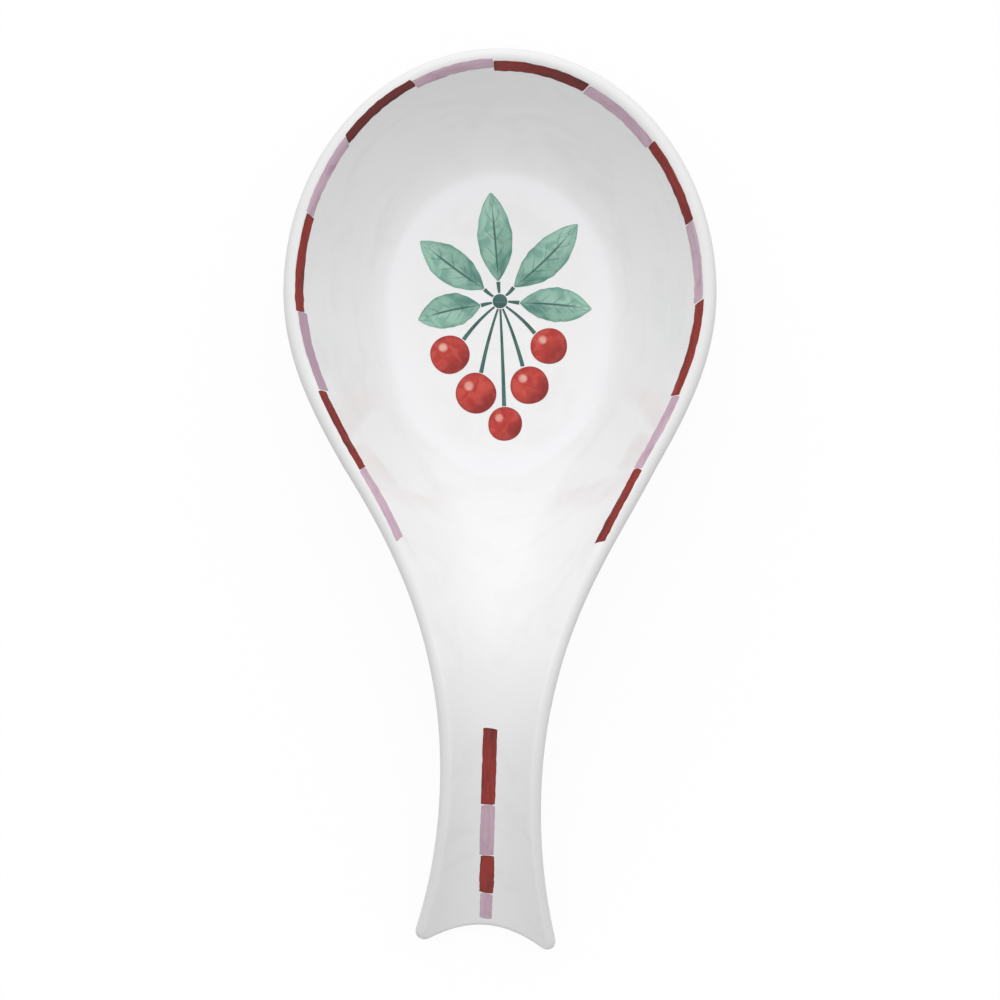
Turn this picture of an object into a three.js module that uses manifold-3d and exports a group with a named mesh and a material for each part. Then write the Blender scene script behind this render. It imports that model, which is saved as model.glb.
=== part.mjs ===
// A ceramic spoon rest, fired in one piece: a deep oval bowl whose rounded rim runs on down both sides
// of a trough-shaped handle. The handle rises out of the bowl, arches over and comes down to the table
// at a scooped end. Enamel dashes go round the rim and down the handle, and a bunch of berries lies on
// the bowl's floor. Each enamel mark is a thin film seated just above the glaze.
//
// Millimetres, +Z up. The bowl's far end points along +Y and the handle along -Y. The origin is on the
// table, under the middle of the length.

import * as THREE from "three";
import { LoftGeometry } from "three/addons/geometries/LoftGeometry.js";
import { mergeVertices } from "three/addons/utils/BufferGeometryUtils.js";
import Module from "manifold-3d";

// Bowl
const LENGTH = 250; // before the end is slanted
const BOWL_WIDTH = 119.5;
const BOWL_FAR_REACH = 67.5; // widest line to the far edge
const RIM_HEIGHT = 34;
const BOWL_WALL = 4.8;
const FLOOR_WIDTH = 62;
const FLOOR_NEAR_REACH = 49; // widest line to the floor's handle end
const FLOOR_END_ROUND = 18; // how far the floor's sides fall short of its handle end
const FLOOR_END_SPREAD = 24; // and how far out from the middle they do
const FILLET_SOFTNESS = 0.38; // 0 is a sharp corner between floor and wall, 1 a round bottom
const FOOT_HEIGHT = 2;
const FOOT_WIDTH = 4;
const FOOT_INSET = 2; // in from the edge of the flat floor

// Handle
const WAIST_WIDTH = 27.4;
const WAIST_FROM_END = 47.5;
const SHOULDER_PULL = 43.5; // how long the bowl's side keeps its width before it draws in
const NECK_PULL = 67; // and how long the neck keeps the waist's
const END_WIDTH = 40.4;
const FLARE_POWER = 2;
const SCOOP_DEPTH = 6.2; // how far the end curves in between its two tips
const TIP_ROUND = 2.4;
const HANDLE_WALL = 3.6;
const TROUGH_DEPTH = 6.4;
const TROUGH_SOFTNESS = 1.1;
const CREST_FROM_END = 82; // top of the arch to the tips
const CLIMB_TURN = 0.2; // shares of the climb out of the bowl that turn into its slope
const CREST_TURN = 0.6; // and out of it again onto the crest
const ARCH_POWER = 1.7; // 1 is a straight slope, 2 a parabola
const SEAT_GRIND = 0.3; // ground off under the end, so that it sits flat
const HANDLE_LEAN = 2.1; // degrees that the hand-finished handle leans to one side
const LEAN_BLEND = 20;
const END_SLANT = 2.2; // degrees more that the scooped end is turned

// Enamel
const FILM = 0.2;
const FILM_GAP = 0.15;
const DASH_SPACE = 0.3;
const DASH_LIP_ANGLE = 24; // degrees that a dash reaches up onto the round of the rim
const DASH_WALL_REACH = 1.5; // and in from the rim's inner edge, seen from above
const RIM_DASHES_MEET = -1.9; // just left of the far end's middle
const RIM_DASHES = {
  // from there to the neck, each brushed a little further out or in
  right: [
    { length: 28.1, out: -0.4 },
    { length: 24.8, out: -0.7 },
    { length: 25.5, out: -0.2 },
    { length: 22.8, out: -0.3 },
    { length: 27.9, out: 0 },
    { length: 22.8, out: 0.5 },
    { length: 22.2, out: 0.7 },
  ],
  left: [
    { length: 23.7, out: 0.3 },
    { length: 25.1, out: 0.9 },
    { length: 23.8, out: 0.6 },
    { length: 27.9, out: 0.3 },
    { length: 23.2, out: -0.3 },
    { length: 24.6, out: 0.4 },
    { length: 22.6, out: 0.5 },
  ],
};
const HANDLE_DASH_WIDTH = 4.8; // half-way through the wall, and less on the hollow glaze above
const HANDLE_DASHES = [
  // from the bowl to the end, each shorter than the last and nearer the middle
  { length: 20.9, aside: 0.8 },
  { length: 13.9, aside: 0.65 },
  { length: 10.5, aside: 0.25 },
  { length: 7.1, aside: 0.15 },
];
const HANDLE_DASHES_TO_END = 0.8;

// Painted bunch on the floor, in units of the half-width that its margin leaves free
const MOTIF_MARGIN = 8; // millimetres of bare floor on each side
const MOTIF_LEAVES = [
  { turn: 5, length: 1.12 },
  { turn: 53, length: 1.0 },
  { turn: -45, length: 1.12 },
  { turn: 103, length: 0.8 },
  { turn: -95, length: 0.9 },
];
const LEAF_WIDTH = 0.43;
const LEAF_TAPER = 0.3; // 0 is a blunt leaf, 0.5 a long-pointed one
const LEAF_START = 0.24; // from the knot of the stalks
const MOTIF_BERRIES = [
  { x: -0.62, y: -0.66, radius: 0.24 },
  { x: 0.6, y: -0.56, radius: 0.225 },
  { x: -0.3, y: -1.14, radius: 0.25 },
  { x: 0.36, y: -1.04, radius: 0.235 },
  { x: 0.06, y: -1.52, radius: 0.21 },
];
const STALK_KNOT = 0.09;
const STALK_WIDTH = 0.05;
const STALK_BEND = 0.62; // sideways share of a stalk's way that is covered half-way down, 0.5 is straight
const STALK_SPACE = 0.04; // between a stalk and the leaf or berry that it bears

// Facets
const RIM_STEP = 5.6;
const CORNER_STEPS = 4;
const SCOOP_STEPS = 5;
const LIP_STEPS = 5;
const INSIDE_SHARES = [0, 0.22, 0.42, 0.5, 0.56, 0.62, 0.7, 0.79, 0.88, 0.95, 1];
const OUTSIDE_SHARES = [1, 0.9, 0.78, 0.66, 0.54, 0.42, 0];
const FOOT_STEPS = 16;
const PAINT_STEPS = 7;
const PROBE = 0.1; // half the step over which slopes are measured

// Stations along the length, and the line down the middle of the rim's thickness
const farY = LENGTH / 2;
const widestY = farY - BOWL_FAR_REACH;
const floorEndY = widestY - FLOOR_NEAR_REACH;
const crestY = -LENGTH / 2 + CREST_FROM_END;
const waistY = -LENGTH / 2 + WAIST_FROM_END;
const tipY = -LENGTH / 2 + HANDLE_WALL / 2;
const scoopY = tipY + SCOOP_DEPTH;
const rimX = (BOWL_WIDTH - BOWL_WALL) / 2;
const rimFarReach = BOWL_FAR_REACH - BOWL_WALL / 2;
const waistX = (WAIST_WIDTH - HANDLE_WALL) / 2;
const tipX = (END_WIDTH - HANDLE_WALL) / 2;

// Heights of the wall's middle surface
const rimZ = RIM_HEIGHT - BOWL_WALL / 2;
const floorZ = FOOT_HEIGHT + BOWL_WALL / 2;
const floorTop = FOOT_HEIGHT + BOWL_WALL;
const crestZ = rimZ - TROUGH_DEPTH;
const archDrop = crestZ - (HANDLE_WALL / 2 - SEAT_GRIND);

const { clamp, lerp, smoothstep } = THREE.MathUtils;

const wasm = await Module();
wasm.setup();

function toSolid(geometry) {
  const bare = new THREE.BufferGeometry();
  bare.setAttribute("position", geometry.getAttribute("position"));
  bare.setIndex(geometry.index);
  const merged = mergeVertices(bare, 1e-3);
  const corners = merged.index.array;
  const triVerts = [];
  for (let i = 0; i < corners.length; i += 3) {
    const [a, b, c] = corners.slice(i, i + 3);
    if (a !== b && b !== c && c !== a) triVerts.push(a, b, c);
  }
  const mesh = new wasm.Mesh({
    numProp: 3,
    vertProperties: merged.attributes.position.array,
    triVerts: new Uint32Array(triVerts),
  });
  return new wasm.Manifold(mesh);
}

function toGeometry(solid) {
  const mesh = solid.getMesh();
  const geometry = new THREE.BufferGeometry();
  geometry.setAttribute("position", new THREE.BufferAttribute(mesh.vertProperties, 3));
  geometry.setIndex(new THREE.BufferAttribute(mesh.triVerts, 1));
  const flat = geometry.toNonIndexed();
  flat.computeVertexNormals();
  return flat;
}

// Share of the way from the crest to the handle's end
function handleShare(y) {
  return Math.max(0, (crestY - y) / (crestY - scoopY));
}

function wallAt(y) {
  return lerp(BOWL_WALL, HANDLE_WALL, smoothstep(handleShare(y), 0, 1));
}

// One side of the rim's middle line from the bowl's widest line to the handle's waist
const shoulder = new THREE.CubicBezierCurve(
  new THREE.Vector2(rimX, widestY),
  new THREE.Vector2(rimX, widestY - SHOULDER_PULL),
  new THREE.Vector2(waistX, waistY + NECK_PULL),
  new THREE.Vector2(waistX, waistY),
);

// Half the width between the rim's middle lines, from the widest line to the tips
function rimHalfWidth(y) {
  if (y < waistY) return waistX + (tipX - waistX) * ((waistY - y) / (waistY - tipY)) ** FLARE_POWER;
  let [above, below] = [0, 1];
  for (let i = 0; i < 30; i++) {
    const half = (above + below) / 2;
    if (shoulder.getPoint(half).y > y) above = half;
    else below = half;
  }
  return shoulder.getPoint(above).x;
}

// Rise of a wall from its foot at 0 to the rim at 1, with a soft turn out of the flat part
function wallRise(share, flatShare, softness) {
  const run = Math.max(0, (share - flatShare) / (1 - flatShare));
  return (Math.hypot(run, softness) - softness) / (Math.hypot(1, softness) - softness);
}

// Climb out of the bowl, from 0 on the floor to 1 on the crest: a short turn, a straight slope, a long turn
function climbRise(share) {
  const steepest = 1 / (1 - CLIMB_TURN / 2 - CREST_TURN / 2);
  const run = clamp(share, 0, 1);
  if (run < CLIMB_TURN) return (steepest * run ** 2) / (2 * CLIMB_TURN);
  if (run < 1 - CREST_TURN) return steepest * (run - CLIMB_TURN / 2);
  return 1 - (steepest * (1 - run) ** 2) / (2 * CREST_TURN);
}

function middleHeight(x, y) {
  const flat = FLOOR_WIDTH / 2 / rimX;
  if (y > widestY) {
    const share = Math.hypot(x / rimX, (y - widestY) / rimFarReach);
    return lerp(floorZ, rimZ, wallRise(share, flat, FILLET_SOFTNESS));
  }
  const towardsCrest = clamp((widestY - y) / (widestY - crestY), 0, 1);
  const flatHere = flat * (1 - smoothstep(towardsCrest ** 2, 0, 1));
  const roundEnd = (FLOOR_END_ROUND * x ** 2) / (x ** 2 + FLOOR_END_SPREAD ** 2);
  const climb = climbRise((floorEndY + roundEnd - y) / (floorEndY - crestY));
  const softness = lerp(FILLET_SOFTNESS, TROUGH_SOFTNESS, climb);
  const rise = wallRise(Math.abs(x) / rimHalfWidth(y), flatHere, softness);
  const drop = archDrop * handleShare(y) ** ARCH_POWER;
  return lerp(lerp(floorZ, crestZ, climb), rimZ, rise) - drop;
}

// A point of the middle surface, with its upward normal
function middleSurface(x, y) {
  const slopeX = (middleHeight(x + PROBE, y) - middleHeight(x - PROBE, y)) / (2 * PROBE);
  const slopeY = (middleHeight(x, y + PROBE) - middleHeight(x, y - PROBE)) / (2 * PROBE);
  const point = new THREE.Vector3(x, y, middleHeight(x, y));
  return { point, normal: new THREE.Vector3(-slopeX, -slopeY, 1).normalize(), wall: wallAt(y) };
}

// One side of the rim from above, from the bowl's far end to the middle of the scooped end
class HandleSide extends THREE.Curve {
  getPoint(t, target = new THREE.Vector2()) {
    const y = lerp(widestY, tipY + TIP_ROUND, t);
    return target.set(rimHalfWidth(y), y);
  }
}

function rimOutline() {
  const scoopAt = (x) => new THREE.Vector2(x, scoopY - SCOOP_DEPTH * (x / tipX) ** 2);
  const sideEnd = new HandleSide().getPoint(1);
  const scoopStart = scoopAt(tipX - TIP_ROUND);
  const outline = new THREE.CurvePath();
  outline.add(new THREE.EllipseCurve(0, widestY, rimX, rimFarReach, Math.PI / 2, 0, true));
  outline.add(new HandleSide());
  outline.add(new THREE.QuadraticBezierCurve(sideEnd, new THREE.Vector2(tipX, tipY), scoopStart));
  outline.add(
    new THREE.QuadraticBezierCurve(scoopStart, new THREE.Vector2(scoopStart.x / 2, scoopY), scoopAt(0)),
  );
  return outline;
}

const outline = rimOutline();
const [, sideEndAt, cornerEndAt, rimEndAt] = outline.getCurveLengths();

// A point of the whole rim by its distance from the far end, positive on the right and negative on the left
function rimPoint(distance) {
  const whole = 2 * rimEndAt;
  const wrapped = distance - whole * Math.round(distance / whole);
  const point = outline.getPoint(Math.abs(wrapped) / rimEndAt);
  return new THREE.Vector2(Math.sign(wrapped) * point.x, point.y);
}

// The rim's frame at a distance: the middle surface's edge, its normal and the way out across the rim
function rimFrame(distance) {
  const at = rimPoint(distance);
  const before = rimPoint(distance - PROBE);
  const after = rimPoint(distance + PROBE);
  const frame = middleSurface(at.x, at.y);
  const along = new THREE.Vector3(after.x, after.y, middleHeight(after.x, after.y)).sub(
    new THREE.Vector3(before.x, before.y, middleHeight(before.x, before.y)),
  );
  frame.out = new THREE.Vector3().crossVectors(frame.normal, along).normalize();
  frame.spine = new THREE.Vector2(0, clamp(at.y, scoopY + 2 * SCOOP_DEPTH, widestY));
  return frame;
}

// Both faces of the wall: side 1 is the inside, -1 the outside
function wallFace({ point, normal, wall }, side) {
  return point.clone().addScaledVector(normal, (side * wall) / 2);
}

// A point on the round of the rim, from the inner edge at 0 to the outer edge at 180 degrees
function lipDirection({ normal, out }, degrees) {
  const angle = THREE.MathUtils.degToRad(degrees);
  return normal.clone().multiplyScalar(Math.cos(angle)).addScaledVector(out, Math.sin(angle));
}

// The handle's sideways lean, which turns each section with it
function leaned(point) {
  const past = Math.max(0, floorEndY - point.y);
  const slope = Math.tan(THREE.MathUtils.degToRad(HANDLE_LEAN));
  const blended = Math.hypot(past, LEAN_BLEND);
  const endSlope = Math.tan(THREE.MathUtils.degToRad(END_SLANT)) * handleShare(point.y) ** 2;
  return new THREE.Vector3(
    point.x - slope * (blended - LEAN_BLEND),
    point.y - point.x * ((slope * past) / blended + endSlope),
    point.z,
  );
}

function spread(from, to, steps) {
  return Array.from({ length: steps }, (_, i) => lerp(from, to, i / steps));
}

// Rings from the line down the middle, up the inside, over the rim and back under the outside
function shellSolid() {
  const right = [
    ...spread(0, sideEndAt, Math.round(sideEndAt / RIM_STEP)),
    ...spread(sideEndAt, cornerEndAt, CORNER_STEPS),
    ...spread(cornerEndAt, rimEndAt, SCOOP_STEPS),
  ];
  const left = right.slice(1).map((distance) => -distance);
  const frames = [...right, rimEndAt, ...left.reverse()].map(rimFrame);
  const faceRing = (share, side) =>
    frames.map((frame) => {
      const x = lerp(frame.spine.x, frame.point.x, share);
      const y = lerp(frame.spine.y, frame.point.y, share);
      return leaned(wallFace(middleSurface(x, y), side));
    });
  const lipRing = (degrees) =>
    frames.map((frame) =>
      leaned(frame.point.clone().addScaledVector(lipDirection(frame, degrees), frame.wall / 2)),
    );
  const rings = [
    ...INSIDE_SHARES.map((share) => faceRing(share, 1)),
    ...spread(0, 180, LIP_STEPS).slice(1).map(lipRing),
    ...OUTSIDE_SHARES.map((share) => faceRing(share, -1)),
  ];
  return toSolid(new LoftGeometry(rings));
}

// The floor's oval, drawn in by an inset
function floorOval(inset, path) {
  const halfWidth = FLOOR_WIDTH / 2 - inset;
  const far = (FLOOR_WIDTH / 2 / rimX) * rimFarReach - inset;
  const near = FLOOR_NEAR_REACH - inset;
  path.absellipse(0, widestY, halfWidth, far, 0, Math.PI, false);
  path.absellipse(0, widestY, halfWidth, near, Math.PI, 2 * Math.PI, false);
  return path;
}

function footSolid() {
  const shape = floorOval(FOOT_INSET, new THREE.Shape());
  shape.holes.push(floorOval(FOOT_INSET + FOOT_WIDTH, new THREE.Path()));
  const intoBase = BOWL_WALL / 4;
  const options = { depth: FOOT_HEIGHT + intoBase, bevelEnabled: false, curveSegments: FOOT_STEPS };
  return toSolid(new THREE.ExtrudeGeometry(shape, options));
}

function tableSolid() {
  const slab = new THREE.BoxGeometry(BOWL_WIDTH, 2 * LENGTH, RIM_HEIGHT);
  slab.translate(0, 0, -RIM_HEIGHT / 2);
  return toSolid(slab);
}

// A film over points of the glaze: each row holds points across the film, with their normals
function filmGeometry(rows) {
  const sections = rows.map((row) => {
    const raised = (height) => row.map(({ at, up }) => leaned(at.clone().addScaledVector(up, height)));
    return [...raised(FILM_GAP), ...raised(FILM_GAP + FILM).reverse()];
  });
  return new LoftGeometry(sections, { capStart: true, capEnd: true });
}

function rimDashGeometry(from, to, outwards) {
  const steps = Math.ceil((to - from) / RIM_STEP) + 1;
  const rows = [...spread(from, to, steps), to].map((distance) => {
    const frame = rimFrame(distance);
    const edge = new THREE.Vector2(frame.point.x, frame.point.y);
    const inward = frame.spine.clone().sub(edge).setLength(DASH_WALL_REACH - outwards);
    const below = middleSurface(edge.x + inward.x, edge.y + inward.y);
    const lipAngle = DASH_LIP_ANGLE + THREE.MathUtils.radToDeg(outwards / (frame.wall / 2));
    const onLip = [0, lipAngle / 2, lipAngle].map((degrees) => {
      const up = lipDirection(frame, degrees);
      return { at: frame.point.clone().addScaledVector(up, frame.wall / 2), up };
    });
    return [{ at: wallFace(below, 1), up: below.normal }, ...onLip];
  });
  return filmGeometry(rows);
}

function handleDashGeometry(fromY, toY, aside) {
  const steps = Math.ceil((fromY - toY) / RIM_STEP) + 1;
  const rows = [...spread(fromY, toY, steps), toY].map((y) =>
    [-1, 0, 1].map((across) => {
      const frame = middleSurface((across * HANDLE_DASH_WIDTH) / 2 - aside, y);
      return { at: wallFace(frame, 1), up: frame.normal };
    }),
  );
  return filmGeometry(rows);
}

// Painted shapes lie flat on the floor
function flatFilm(shape) {
  const options = { depth: FILM, bevelEnabled: false, curveSegments: PAINT_STEPS };
  return new THREE.ExtrudeGeometry(shape, options).translate(0, 0, floorTop + FILM_GAP);
}

// Each edge of a leaf bulges three quarters of the way to its curve's handles
function leafShape(length) {
  const handleX = LEAF_WIDTH / 2 / 0.75;
  const handleY = length * LEAF_TAPER;
  const shape = new THREE.Shape();
  shape.moveTo(0, 0);
  shape.bezierCurveTo(handleX, handleY, handleX, length - handleY, 0, length);
  shape.bezierCurveTo(-handleX, length - handleY, -handleX, handleY, 0, 0);
  return shape;
}

// A stalk, bent a little outwards on its way from the knot
function stalkSolid(end) {
  const across = new THREE.Vector2(-end.y, end.x).setLength(STALK_WIDTH / 2);
  const bend = new THREE.Vector2(end.x * STALK_BEND, end.y / 2);
  const shape = new THREE.Shape();
  shape.moveTo(across.x, across.y);
  shape.quadraticCurveTo(bend.x + across.x, bend.y + across.y, end.x + across.x, end.y + across.y);
  shape.lineTo(end.x - across.x, end.y - across.y);
  shape.quadraticCurveTo(bend.x - across.x, bend.y - across.y, -across.x, -across.y);
  return toSolid(flatFilm(shape));
}

function enamel(color) {
  return new THREE.MeshStandardMaterial({ color, roughness: 0.2, metalness: 0 });
}

const glaze = new THREE.MeshStandardMaterial({ color: 0xf2f2f0, roughness: 0.12, metalness: 0 });
const RED = 0x963c35;
const LILAC = 0xcfb2c3;
const LEAF_GREEN = 0x7fb5a0;
const STALK_GREEN = 0x3f6a60;
const BERRY_RED = 0xb8302b;

const spoonRest = new THREE.Group();

function addMesh(name, geometry, material, parent = spoonRest) {
  const mesh = new THREE.Mesh(geometry, material);
  mesh.name = name;
  parent.add(mesh);
  return mesh;
}

function addBody() {
  const body = shellSolid().add(footSolid()).subtract(tableSolid());
  addMesh("ceramic_body", toGeometry(body), glaze);
}

// Red and lilac in turn, all the way round
function addRimDashes() {
  for (const [side, sign] of [["right", 1], ["left", -1]]) {
    let start = RIM_DASHES_MEET;
    RIM_DASHES[side].forEach(({ length, out }, i) => {
      const middle = start + (sign * length) / 2;
      const reach = (length - DASH_SPACE) / 2;
      const isRed = (i % 2 === 0) === (side === "right");
      const geometry = rimDashGeometry(middle - reach, middle + reach, out);
      addMesh(`rim_dash_${side}_${i + 1}`, geometry, enamel(isRed ? RED : LILAC));
      start += sign * length;
    });
  }
}

function addHandleDashes() {
  const run = HANDLE_DASHES.reduce((sum, { length }) => sum + length + DASH_SPACE, 0);
  let y = scoopY + HANDLE_DASHES_TO_END + run;
  HANDLE_DASHES.forEach(({ length, aside }, i) => {
    const isRed = i % 2 === 0;
    const geometry = handleDashGeometry(y, y - length, aside);
    addMesh(`handle_dash_${i + 1}`, geometry, enamel(isRed ? RED : LILAC));
    y -= length + DASH_SPACE;
  });
}

// A bunch of berries under a crown of leaves, drawn in units of the free floor's half-width
function addMotif() {
  const unit = FLOOR_WIDTH / 2 - MOTIF_MARGIN;
  const motif = new THREE.Group();
  motif.position.y = widestY;
  motif.scale.set(unit, unit, 1);
  spoonRest.add(motif);

  const knot = new THREE.Shape().absarc(0, 0, STALK_KNOT, 0, 2 * Math.PI);
  let stalk = toSolid(flatFilm(knot));
  MOTIF_LEAVES.forEach(({ turn, length }, i) => {
    const geometry = flatFilm(leafShape(length));
    const leaf = addMesh(`motif_leaf_${i + 1}`, geometry, enamel(LEAF_GREEN), motif);
    const angle = THREE.MathUtils.degToRad(turn);
    const ahead = new THREE.Vector2(-Math.sin(angle), Math.cos(angle));
    leaf.rotation.z = angle;
    leaf.position.set(ahead.x * LEAF_START, ahead.y * LEAF_START, 0);
    stalk = stalk.add(stalkSolid(ahead.setLength(LEAF_START - STALK_SPACE)));
  });
  MOTIF_BERRIES.forEach(({ x, y, radius }, i) => {
    const berry = new THREE.Shape().absarc(x, y, radius, 0, 2 * Math.PI);
    addMesh(`motif_berry_${i + 1}`, flatFilm(berry), enamel(BERRY_RED), motif);
    const centre = new THREE.Vector2(x, y);
    const reach = centre.length() - radius - STALK_SPACE;
    stalk = stalk.add(stalkSolid(centre.setLength(reach)));
  });
  addMesh("motif_stalk", toGeometry(stalk), enamel(STALK_GREEN), motif);
}

addBody();
addRimDashes();
addHandleDashes();
addMotif();

export default spoonRest;
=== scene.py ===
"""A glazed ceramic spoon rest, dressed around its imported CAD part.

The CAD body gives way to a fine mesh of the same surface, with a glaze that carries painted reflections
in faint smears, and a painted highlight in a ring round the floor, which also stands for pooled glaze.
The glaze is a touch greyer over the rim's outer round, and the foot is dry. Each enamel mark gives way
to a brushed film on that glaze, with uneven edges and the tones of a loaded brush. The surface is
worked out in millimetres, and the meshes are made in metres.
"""

import math

import bmesh
import bpy
import numpy as np
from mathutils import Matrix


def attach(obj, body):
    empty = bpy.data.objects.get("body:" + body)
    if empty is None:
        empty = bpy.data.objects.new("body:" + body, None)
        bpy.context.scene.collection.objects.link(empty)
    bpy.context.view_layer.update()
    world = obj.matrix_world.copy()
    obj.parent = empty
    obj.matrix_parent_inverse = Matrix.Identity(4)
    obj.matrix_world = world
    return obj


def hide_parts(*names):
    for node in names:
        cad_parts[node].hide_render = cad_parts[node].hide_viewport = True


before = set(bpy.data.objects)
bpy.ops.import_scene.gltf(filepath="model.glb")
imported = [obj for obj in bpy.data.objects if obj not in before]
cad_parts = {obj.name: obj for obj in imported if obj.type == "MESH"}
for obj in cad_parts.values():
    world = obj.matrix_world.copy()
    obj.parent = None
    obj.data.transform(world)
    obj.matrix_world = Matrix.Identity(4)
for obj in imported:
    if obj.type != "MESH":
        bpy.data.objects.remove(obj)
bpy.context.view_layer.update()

MM = 0.001

# Bowl
LENGTH = 250.0
BOWL_WIDTH = 119.5
BOWL_FAR_REACH = 67.5
RIM_HEIGHT = 34.0
BOWL_WALL = 4.8
FLOOR_WIDTH = 62.0
FLOOR_NEAR_REACH = 49.0
FLOOR_END_ROUND = 18.0
FLOOR_END_SPREAD = 24.0
FILLET_SOFTNESS = 0.38
FOOT_HEIGHT = 2.0
FOOT_WIDTH = 4.0
FOOT_INSET = 2.0
FOOT_ROUND = 0.8

# Handle
WAIST_WIDTH = 27.4
WAIST_FROM_END = 47.5
SHOULDER_PULL = 43.5
NECK_PULL = 67.0
END_WIDTH = 40.4
FLARE_POWER = 2.0
SCOOP_DEPTH = 6.2
TIP_ROUND = 2.4
HANDLE_WALL = 3.6
TROUGH_DEPTH = 6.4
TROUGH_SOFTNESS = 1.1
CREST_FROM_END = 82.0
CLIMB_TURN = 0.2
CREST_TURN = 0.6
ARCH_POWER = 1.7
SEAT_GRIND = 0.3
HANDLE_LEAN = math.radians(2.1)
LEAN_BLEND = 20.0
END_SLANT = math.radians(2.2)

# Enamel films, and the dashes round the rim and down the handle
FILM = 0.05
FILM_GAP = 0.02
FILM_EDGE = 0.05  # run of the slope at a film's outline
DASH_SPACE = 0.3
DASH_BARE = 0.12  # what is left of that space between two brushed films
DASH_LIP_ANGLE = math.radians(24)
DASH_WALL_REACH = 1.5
RIM_DASHES_MEET = -1.9  # along the rim from its far end
RIM_DASHES = {  # each one's length, and how far out across the rim it lies
    "right": (
        (28.1, -0.4), (24.8, -0.7), (25.5, -0.2), (22.8, -0.3), (27.9, 0.0), (22.8, 0.5), (22.2, 0.7)
    ),
    "left": (
        (23.7, 0.3), (25.1, 0.9), (23.8, 0.6), (27.9, 0.3), (23.2, -0.3), (24.6, 0.4), (22.6, 0.5)
    ),
}
HANDLE_DASH_WIDTH = 4.8
HANDLE_DASHES = ((20.9, 0.8), (13.9, 0.65), (10.5, 0.25), (7.1, 0.15))  # length, and how far left it lies
HANDLE_DASHES_TO_END = 0.8

# Painted bunch on the floor, in units of the half-width that its margin leaves free
MOTIF_MARGIN = 8.0
MOTIF_UNIT = FLOOR_WIDTH / 2 - MOTIF_MARGIN
MOTIF_LEAVES = ((5, 1.12), (53, 1.0), (-45, 1.12), (103, 0.8), (-95, 0.9))  # degrees of turn, length
LEAF_WIDTH = 0.43
LEAF_TAPER = 0.3
LEAF_START = 0.24
LEAF_VEINS = 5.5  # side veins over a leaf's length
LEAF_VEIN_SLANT = 1.3
MOTIF_BERRIES = (  # x, y, radius
    (-0.62, -0.66, 0.24), (0.6, -0.56, 0.225), (-0.3, -1.14, 0.25), (0.36, -1.04, 0.235),
    (0.06, -1.52, 0.21),
)
BERRY_LIGHT = (-0.34, 0.36, 0)  # where the brush left it pale, in shares of its radius
STALK_KNOT = 0.09
STALK_WIDTH = 0.05
STALK_BEND = 0.62
STALK_SPACE = 0.01
STALK_TAPER = 0.5

# Unevenness of the hand that painted it
STROKE_END_ROUND = 0.22
STROKE_END_WOBBLE = 0.06
RIM_JOINT_SLANT = 0.9  # how far along one side of a joint can lie past its middle
HANDLE_JOINT_SLANT = 0.2
STROKE_EDGE_WOBBLE = 0.13
STROKE_BELLY = 0.05  # share of its width that a stroke loses towards its ends
STROKE_APART = 90.0  # from one stroke's streaks to the next one's
STROKE_SHIFT = 270.0  # where the first one's start
HANDLE_DASH_FULLNESS = (1.05, 1.0, 0.97, 0.8)  # shares of their width, as the brush runs out
EDGE_FADE = 0.28
LEAF_BLUNT = 0.012
LEAF_WOBBLE = 0.05
LEAF_BEND = 0.04
BERRY_WOBBLE = 0.03
EDGE_WAVES = 9
BERRY_WAVES = 4
RIM_DASH_SEED = 5
HANDLE_DASH_SEED = 11
MOTIF_SEED = 3

# Materials
LIP_START = 0.97  # share of the way to the rim's middle line past which the glaze is a touch greyer
LIP_BLEND = 0.04
# Painted highlight: a lighter, cooler ring round the floor, which also stands for pooled glaze.
POOL_HIGHLIGHT_REACH = 10.0  # how far in over the floor the painted highlight ring reaches, which also stands for deeper glaze
POOL_HIGHLIGHT_EDGE = 2.5
CERAMIC_IOR = 1.5
ENAMEL_IOR = 1.45
GLAZE_RIPPLE = 0.06
CLAY_GRAIN = 0.08
BRUSH_RIDGE = 0.02

# Names of the data on the meshes that the materials read
STROKE_MAP = "stroke"
EDGE = "edge"
REACH = "reach"
LIP = "lip"
POOL_HIGHLIGHT = "pool_highlight"

# Stations along the length, and the line down the middle of the rim's thickness
FAR_Y = LENGTH / 2
WIDEST_Y = FAR_Y - BOWL_FAR_REACH
FLOOR_END_Y = WIDEST_Y - FLOOR_NEAR_REACH
CREST_Y = -LENGTH / 2 + CREST_FROM_END
WAIST_Y = -LENGTH / 2 + WAIST_FROM_END
TIP_Y = -LENGTH / 2 + HANDLE_WALL / 2
SCOOP_Y = TIP_Y + SCOOP_DEPTH
SPINE_END_Y = SCOOP_Y + 2 * SCOOP_DEPTH
RIM_X = (BOWL_WIDTH - BOWL_WALL) / 2
RIM_FAR_REACH = BOWL_FAR_REACH - BOWL_WALL / 2
WAIST_X = (WAIST_WIDTH - HANDLE_WALL) / 2
TIP_X = (END_WIDTH - HANDLE_WALL) / 2
RIM_Z = RIM_HEIGHT - BOWL_WALL / 2
FLOOR_Z = FOOT_HEIGHT + BOWL_WALL / 2
CREST_Z = RIM_Z - TROUGH_DEPTH
ARCH_DROP = CREST_Z - (HANDLE_WALL / 2 - SEAT_GRIND)
FLAT_SHARE = FLOOR_WIDTH / 2 / RIM_X

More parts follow.
